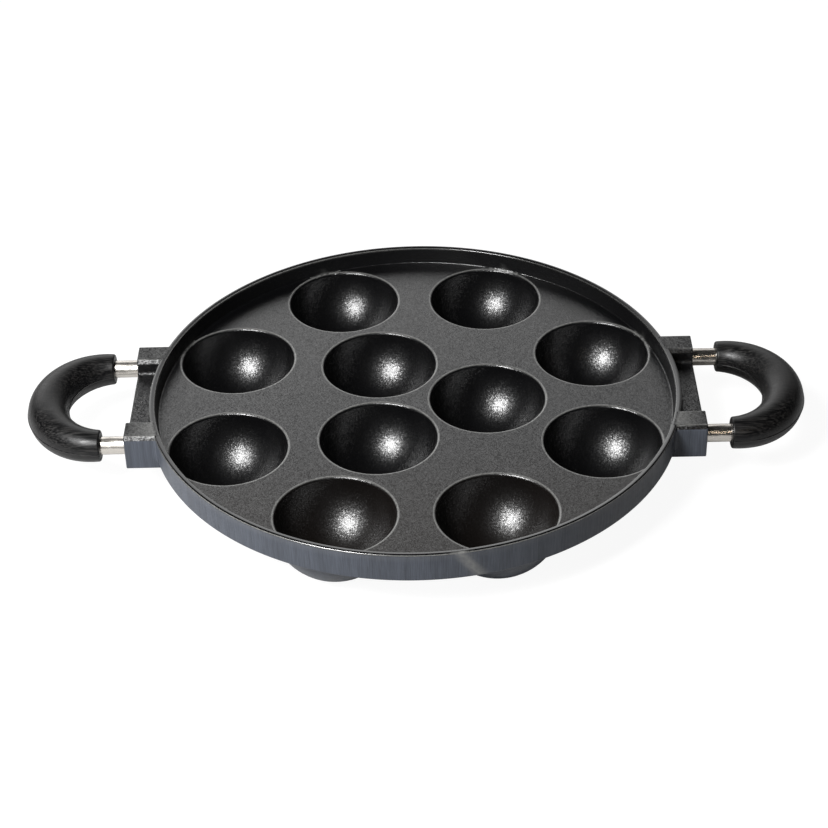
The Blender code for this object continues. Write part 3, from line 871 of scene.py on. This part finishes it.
def markPaintedHighlights(mesh):
    x, y, z = pointsOf(mesh).T
    away, bearing = np.hypot(x, y), np.arctan2(y, x)
    near, _ = nearestCavity(x, y)
    rimTop = pan["floorZ"] + pan["rimHeight"]
    # painted highlight round the cavities' lips
    lips = band(lipMiddle - near, paintedHighlightBands["lip"]) * paintedHighlightBands["lipShare"]
    lips *= z > pan["floorZ"] - pan["lipRound"]
    # painted highlight along the rim's inner edge
    inner = band(away - pan["rimFoot"] - pan["rimLean"], paintedHighlightBands["rimInner"]) * paintedHighlightBands["rimShare"]
    inner *= z > rimTop - paintedHighlightBands["innerDeep"]
    weaker = np.clip(np.cos(bearing - math.radians(paintedHighlightBands["weakerTurn"])), 0, 1)
    inner *= 1 - paintedHighlightBands["weakerShare"] * weaker  # painted highlight weakest at the right rear
    # painted highlight along the rim's outer roll
    outer = band(away - pan["rimRadius"], paintedHighlightBands["rimOuter"]) * paintedHighlightBands["outerShare"]
    outer *= z > rimTop - paintedHighlightBands["outerDeep"]
    outer *= np.clip(paintedHighlightBands["frontLimit"] - y / pan["rimRadius"], 0, 1)  # painted highlight at the front, not behind
    # painted highlight along the bosses' top edges
    edges = [lug["spacing"] / 2 + k * (lug["bossWidth"] / 2 - lug["bossBevel"]) for k in (-1, 1)]
    side = np.minimum(np.abs(np.abs(y) - edges[0]), np.abs(np.abs(y) - edges[1]))
    tops = np.clip(1 - np.hypot(side, z - lug["top"]) / paintedHighlightBands["lugTop"], 0, 1) * paintedHighlightBands["lugShare"]
    tops *= away > pan["rimRadius"] + paintedHighlightBands["lugFrom"]
    # a slanting painted highlight streak down the front of the skirt
    slant = (bearing - math.radians(paintedHighlightBands["streakTurn"])) * pan["rimRadius"]
    slant -= paintedHighlightBands["streakLean"] * (rimTop - z)
    streak = np.exp(-(slant / paintedHighlightBands["streakWidth"]) ** 2) * paintedHighlightBands["streakShare"]
    streak *= (away > pan["skirtInner"] + paintedHighlightBands["streakFrom"]) & (y < 0)
    share = np.maximum.reduce([lips, inner, outer, tops, streak])
    layer = mesh.attributes.new("paintedHighlight", "FLOAT", "POINT")
    layer.data.foreach_set("value", share.astype(np.float32))


markPaintedHighlights(casting.data)


# Bars and grips, swept along the same bend

handle = {
    "barRadius": 4.0 * mm, "barChamfer": 0.3 * mm, "socketDepth": 11.2 * mm, "bareLength": 12.1 * mm,
    "bendReach": 26.1 * mm, "endRadius": 7.3 * mm, "middleRadius": 9.5 * mm, "edgeRound": 0.9 * mm,
    "boreGap": 0.3 * mm, "boreEase": 0.02 * mm, "faceFlat": 1.15, "hair": 0.004 * mm,
    "seamRise": 0.03, "seamWidth": 0.03, "crowding": -0.4,
    "bendSteps": 72, "gripSides": 88, "barSides": 48, "legShares": (0.75, 0.5, 0.25),
    "edgeTurns": (8, 26, 44, 62, 80),
}


def bendPoint(side, turn, back=0.0):
    return (side * (lug["faceX"] + handle["bareLength"] + handle["bendReach"] * math.cos(turn) - back),
            side * lug["spacing"] / 2 * math.sin(turn), barZ)


bendTurns = [math.pi * (i / handle["bendSteps"] - 0.5) for i in range(handle["bendSteps"] + 1)]


def bendLine(side, backs):
    # round the bend, with a straight leg at each end that has points so far back from the bend
    return ([bendPoint(side, bendTurns[0], back) for back in backs] + [bendPoint(side, t) for t in bendTurns]
            + [bendPoint(side, bendTurns[-1], back) for back in reversed(backs)])


def makeBar(name, side):
    leg, chamfer = handle["socketDepth"] + handle["bareLength"], handle["barChamfer"]
    line = bendLine(side, [leg, leg - chamfer] + [leg * share for share in handle["legShares"]])
    radii = [handle["barRadius"]] * len(line)
    radii[0] = radii[-1] = handle["barRadius"] - chamfer
    return runTree(name, sweptSectionTree, [line], {
        "Sides": handle["barSides"], "Crowding": 0.0, "Seam Rise": 0.0, "Seam Width": 1.0, "Fill Ends": True,
        "Material": steel}, radii)


def makeGrip(name, side):
    edge, end, hair = handle["edgeRound"], handle["endRadius"], handle["hair"]
    bore = handle["barRadius"] + handle["boreGap"]
    trim = 1 - handle["seamRise"]  # the seam's ridge ends on the real radius
    # the flat end moves along by a hair at each point, because points of a path may not coincide
    ends = [(edge, bore), (edge - hair, bore + handle["boreEase"]),
            (edge - 2 * hair, end - edge * handle["faceFlat"])]
    ends += [(edge * math.cos(a), end - edge * (1 - math.sin(a))) for a in np.radians(handle["edgeTurns"])]
    radii = [r for _, r in ends]
    radii += [end + (handle["middleRadius"] - end) * math.cos(t) for t in bendTurns]
    radii += [r for _, r in reversed(ends)]
    inside = bendLine(side, [edge])
    return runTree(name, sweptSectionTree, [bendLine(side, [back for back, _ in ends]), inside], {
        "Sides": handle["gripSides"], "Crowding": handle["crowding"], "Seam Rise": handle["seamRise"],
        "Seam Width": handle["seamWidth"], "Fill Ends": False, "Material": gripRubber},
        [r if r == bore else r * trim for r in radii] + [bore] * len(inside))


def makePin(name, x, y):
    low, high, r, c = lug["bottom"] + pins["inset"], pinTop, pins["radius"], pins["chamfer"]
    profile = [(0, low), (r - c, low), (r, low + c), (r, high - c), (r - c, high), (0, high)]
    mesh = turnedMesh(name, profile, pins["sides"], lambda across, along, z: (x + across, y + along, z))
    mesh.materials.append(pinSteel)
    return addObject(name, mesh)


pieces = [(casting, "pan_body", "coated_casting")]
for side, word in ((-1, "left"), (1, "right")):
    bar = makeBar(word + "Bar", side)
    print(word, "bar open edges:", tidyMesh(bar.data, sharpAngle=40))
    grip = makeGrip(word + "Grip", side)
    print(word, "grip open edges:", tidyMesh(grip.data, sharpAngle=50, merge=4e-6))
    pieces += [(bar, word + "_handle_rod", "polished_steel"), (grip, word + "_grip", "black_grip")]
    for place, along in (("rear", 1), ("front", -1)):
        pin = makePin(word + place.capitalize() + "Pin", side * (lug["faceX"] - lug["pinInset"]),
                      along * lug["spacing"] / 2)
        pieces.append((pin, word + "_" + place + "_pin", "pin_steel"))
for piece, node, slot in pieces:
    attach(piece, "root")
    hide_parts(node)
print("pieces in place:", len(pieces))


# Studio: white floor and backdrop, a soft lamp and a weak fill at the left, a faint warm glint, the camera

lamps = {
    "lamp": {"place": (-0.385, -0.476, 0.742), "target": (0, 0, 0), "size": 0.31, "radiance": 43.0,
             "spread": 180, "colour": (1, 1, 1), "mirrored": True},
    "card": {"place": (-0.54, -0.34, 0.22), "target": (-0.12, -0.04, 0.03), "size": 0.35, "radiance": 2.0,
             "spread": 100, "colour": (1, 1, 1), "mirrored": False},  # only fills
    "glint": {"place": (0.235, -0.36, 0.37), "target": (0.158, 0.0, 0.03), "size": 0.05, "radiance": 0.12,
              "spread": 14, "colour": (1, 0.84, 0.66), "mirrored": True},  # on the right-hand bar
}
backdrop = {
    "dark": 0.01, "peak": 1.95,
    "levels": ((0.0, 0.08), (0.1, 0.2), (0.2, 0.85), (0.3, 1.05), (0.42, 0.85), (0.5, 0.88),
               (0.58, 0.76), (0.64, 0.56), (0.72, 0.26), (0.82, 0.05), (0.9, 0.03)),  # by height
    "across": {"From Min": -0.3, "From Max": 0.6, "To Min": 1.15, "To Max": 0.2},  # dimmer at the right
    "behind": {"From Min": 0.6, "From Max": 0.78},  # and only at the back
}
floor = {
    "size": 8.0, "drop": 0.1 * mm, "colour": "#808080", "mirroredColour": "#c8c8c8", "seenColour": 0.16,
    "ownLight": 0.93,
}
view = {
    "place": (0.00865, -0.76864, 0.57987), "target": (-0.00060, -0.01144, 0.02720),
    "roll": -0.0282306, "lens": 90.72, "sensor": 36, "clip": (0.01, 50),
}


def makeBackdrop():
    # plain white to the camera; everything else sees a lit sheet behind the pan and a dark room
    world = bpy.data.worlds.new("studio")
    world.use_nodes = True
    bpy.context.scene.world = world
    tree = world.node_tree
    tree.nodes.clear()
    rays = addNode(tree, "ShaderNodeLightPath").outputs
    towards = addNode(tree, "ShaderNodeTexCoord").outputs["Generated"]
    parts = addNode(tree, "ShaderNodeSeparateXYZ", inputs={"Vector": towards}).outputs
    ramp = addNode(tree, "ShaderNodeValToRGB", inputs={"Fac": parts["Z"]})
    stops = ramp.color_ramp.elements
    for place, level in backdrop["levels"]:
        stops.new(place).color = (level, level, level, 1)
    stops.remove(stops[0])
    stops.remove(stops[-1])
    lit = addNode(tree, "ShaderNodeMath", {"operation": "MULTIPLY"}, {0: ramp, 1: backdrop["peak"]})
    fades = [addNode(tree, "ShaderNodeMapRange", {"interpolation_type": "SMOOTHSTEP"},
                     {"Value": parts[axis], **span})
             for axis, span in (("X", backdrop["across"]), ("Y", backdrop["behind"]))]
    share = addNode(tree, "ShaderNodeMath", {"operation": "MULTIPLY"}, dict(enumerate(fades)))
    sheet = addNode(tree, "ShaderNodeMath", {"operation": "MULTIPLY"}, {0: lit, 1: share})
    seen = addNode(tree, "ShaderNodeMath", {"operation": "MAXIMUM"}, {0: sheet, 1: backdrop["dark"]})
    level = addNode(tree, "ShaderNodeMix", {"data_type": "FLOAT"},
                    {"Factor": rays["Is Camera Ray"], "A": seen, "B": 1.0})
    light = addNode(tree, "ShaderNodeBackground", inputs={"Color": (1, 1, 1, 1), "Strength": level})
    addNode(tree, "ShaderNodeOutputWorld", inputs={"Surface": light})


def makeLamp(name, place, target, size, radiance, spread, colour, mirrored):
    data = bpy.data.lights.new(name, "AREA")
    data.shape, data.size, data.size_y = "RECTANGLE", size, size
    data.spread, data.color, data.energy = math.radians(spread), colour, radiance * math.pi * size * size
    lamp = addObject(name, data)
    lamp.location = place
    lamp.rotation_euler = (Vector(target) - lamp.location).to_track_quat("-Z", "Y").to_euler()
    lamp.visible_camera, lamp.visible_glossy = False, mirrored


def makeFloor():
    # matt white paper from a roll, just clear of the pan's feet: near white to the camera, with a soft shadow
    half, down = floor["size"] / 2, -floor["drop"]
    corners = [(x * half, y * half, down) for x, y in ((-1, -1), (1, -1), (1, 1), (-1, 1))]
    mesh = newMesh("floor", corners, [(0, 1, 2, 3)])
    paper = bpy.data.materials.new("whitePaperRoll")
    paper.use_nodes = True
    tree = paper.node_tree
    tree.nodes.clear()
    rays = addNode(tree, "ShaderNodeLightPath").outputs
    plain = addNode(tree, "ShaderNodeMix", {"data_type": "RGBA"},
                    {0: rays["Is Glossy Ray"], 6: hexColour(floor["colour"]),
                     7: hexColour(floor["mirroredColour"])})
    colour = addNode(tree, "ShaderNodeMix", {"data_type": "RGBA"},
                     {0: rays["Is Camera Ray"], 6: plain.outputs[2], 7: (*(floor["seenColour"],) * 3, 1)})
    matt = addNode(tree, "ShaderNodeBsdfDiffuse", inputs={"Color": colour.outputs[2]})
    share = addNode(tree, "ShaderNodeMath", {"operation": "MULTIPLY"},
                    {0: rays["Is Camera Ray"], 1: floor["ownLight"]})
    own = addNode(tree, "ShaderNodeEmission", inputs={"Strength": share})
    both = addNode(tree, "ShaderNodeAddShader", inputs={0: matt, 1: own})
    addNode(tree, "ShaderNodeOutputMaterial", inputs={"Surface": both})
    mesh.materials.append(paper)
    addObject("floor", mesh)


def makeCamera():
    data = bpy.data.cameras.new("camera")
    data.lens, data.sensor_width = view["lens"], view["sensor"]
    data.clip_start, data.clip_end = view["clip"]
    camera = addObject("camera", data)
    place, target = np.array(view["place"]), np.array(view["target"])
    forward = (target - place) / np.linalg.norm(target - place)
    right = np.cross(forward, (0, 0, 1))
    right /= np.linalg.norm(right)
    up = np.cross(right, forward)
    c, s = math.cos(view["roll"]), math.sin(view["roll"])
    across, above = right * c + up * s, up * c - right * s
    rows = [(across[i], above[i], -forward[i], place[i]) for i in range(3)]
    camera.matrix_world = Matrix(rows + [(0, 0, 0, 1)])
    bpy.context.scene.camera = camera


bpy.context.scene.view_settings.view_transform = "Standard"
makeBackdrop()
for name, values in lamps.items():
    makeLamp(name, **values)
makeFloor()
makeCamera()
print("studio ready")
